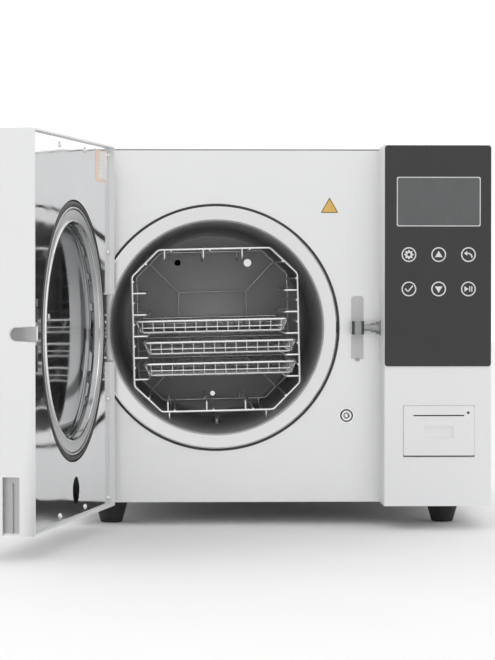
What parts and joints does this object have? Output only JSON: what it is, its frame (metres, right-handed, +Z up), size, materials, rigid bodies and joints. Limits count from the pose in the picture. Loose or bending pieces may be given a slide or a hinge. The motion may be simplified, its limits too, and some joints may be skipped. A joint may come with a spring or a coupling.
{
  "type": "benchtop autoclave",
  "caption": "Benchtop steam autoclave with its round chamber door open, a wire rack with mesh trays, and a control column with printer.",
  "frame": {"origin": "on the bench, under the middle of the whole machine with its door standing open", "axes": "+Z up, +Y from the front panel to the rear, +X to the right seen from the front"},
  "size_m": [0.5969, 0.9184, 0.45],
  "materials": {
    "white_paint": "fine powder coat",
    "panel_steel": "fine brushed",
    "mirror_steel": "mirror polished",
    "chamber_steel": "polished, seen dark",
    "chrome": "polished",
    "dark_chrome": "polished, seen dark",
    "wire_steel": "electropolished wire",
    "keeper_steel": "satin",
    "overlay": "dark gloss foil",
    "display": "dark window",
    "key_print": "printed ring",
    "white_plastic": "fine grain",
    "rubber": "matte",
    "gasket": "satin silicone",
    "dark_plastic": "moulded",
    "board": "solder mask",
    "brass": "machined",
    "copper": "drawn tube",
    "insulation": "felt",
    "tank_plastic": "translucent white",
    "machine_paint": "dark enamel",
    "paper": "thermal paper",
    "label": "sticker",
    "mark": "sticker"
  },
  "bodies": {
    "cabinet": {"base_pan": "white_paint", "front_panel": "panel_steel", "casing": "white_paint", "rear_panel": "white_paint", "control_column": "white_plastic", "control_overlay": "overlay", "display_window": "display", "touch_keys": "key_print", "control_board": "board", "printer_housing": "white_plastic", "print_head": "dark_plastic", "pressure_vessel": "chamber_steel", "vessel_seal_ring": "gasket", "insulation_jacket": "insulation", "band_heater": "copper", "chamber_ports": "chrome", "drain_strainer": "chrome", "steam_generator": "keeper_steel", "vacuum_pump": "machine_paint", "condenser_coil": "chrome", "fan_frame": "dark_plastic", "solenoid_valves": "brass", "water_tank": "tank_plastic", "power_board": "board", "safety_valve": "brass", "air_filter": "tank_plastic", "steam_pipe": "copper", "drain_pipe": "keeper_steel", "keeper_plate": "keeper_steel", "keeper_block": "dark_chrome", "strike_bolt": "dark_chrome", "drain_coupler": "chrome", "hot_mark": "mark", "feet": "rubber", "hinge_bracket": "keeper_steel", "hinge_pin": "chrome", "mains_inlet": "dark_plastic", "hose_barbs": "brass", "panel_screws": "chrome"},
    "door": {"door_shell": "white_plastic", "door_plate": "mirror_steel", "pressure_plate": "chrome", "door_gasket": "gasket", "door_beam": "machine_paint", "hinge_bushes": "brass", "plate_pivot": "keeper_steel", "plate_screws": "chrome", "door_label": "label", "latch_guide": "chrome"},
    "latch": {"latch_handle": "dark_plastic", "latch_tongue": "chrome"},
    "rack": {"tray_rack": "wire_steel"},
    "upper_tray": {"tray_upper": "wire_steel"},
    "middle_tray": {"tray_middle": "wire_steel"},
    "lower_tray": {"tray_lower": "wire_steel"},
    "printer_flap": {"printer_cover": "white_plastic"},
    "paper": {"paper_roll": "paper"},
    "lid": {"tank_lid": "white_plastic"},
    "rocker": {"power_switch": "dark_plastic"},
    "fan": {"fan_rotor": "dark_plastic"}
  },
  "joints": [
    {"name": "door_swing", "type": "hinge", "parent": "cabinet", "child": "door", "pos_m": [-0.1768, -0.1111, 0.2327], "axis": [0, 0, -1], "range_deg": [-101.5, 8.5]},
    {"name": "latch_turn", "type": "hinge", "parent": "door", "child": "latch", "pos_m": [-0.26135, -0.4379, 0.265], "axis": [0.9799, -0.1994, 0], "range_deg": [-90, 0]},
    {"name": "rack_slide", "type": "slide", "parent": "cabinet", "child": "rack", "axis": [0, -1, 0], "range_m": [0, 0.28]},
    {"name": "upper_tray_slide", "type": "slide", "parent": "rack", "child": "upper_tray", "axis": [0, -1, 0], "range_m": [0, 0.25]},
    {"name": "middle_tray_slide", "type": "slide", "parent": "rack", "child": "middle_tray", "axis": [0, -1, 0], "range_m": [0, 0.25]},
    {"name": "lower_tray_slide", "type": "slide", "parent": "rack", "child": "lower_tray", "axis": [0, -1, 0], "range_m": [0, 0.25]},
    {"name": "printer_cover_turn", "type": "hinge", "parent": "cabinet", "child": "printer_flap", "pos_m": [0.2381, -0.1353, 0.09], "axis": [1, 0, 0], "range_deg": [0, 85]},
    {"name": "paper_spin", "type": "hinge", "parent": "cabinet", "child": "paper", "pos_m": [0.2381, -0.1088, 0.108], "axis": [1, 0, 0], "continuous": true},
    {"name": "lid_turn", "type": "hinge", "parent": "cabinet", "child": "lid", "pos_m": [0.2178, 0.3407, 0.4465], "axis": [-1, 0, 0], "range_deg": [0, 100]},
    {"name": "rocker_turn", "type": "hinge", "parent": "cabinet", "child": "rocker", "pos_m": [0.2528, 0.4422, 0.104], "axis": [1, 0, 0], "range_deg": [0, 14]},
    {"name": "fan_spin", "type": "hinge", "parent": "cabinet", "child": "fan", "pos_m": [-0.0872, 0.4232, 0.13], "axis": [0, 1, 0], "continuous": true}
  ]
}
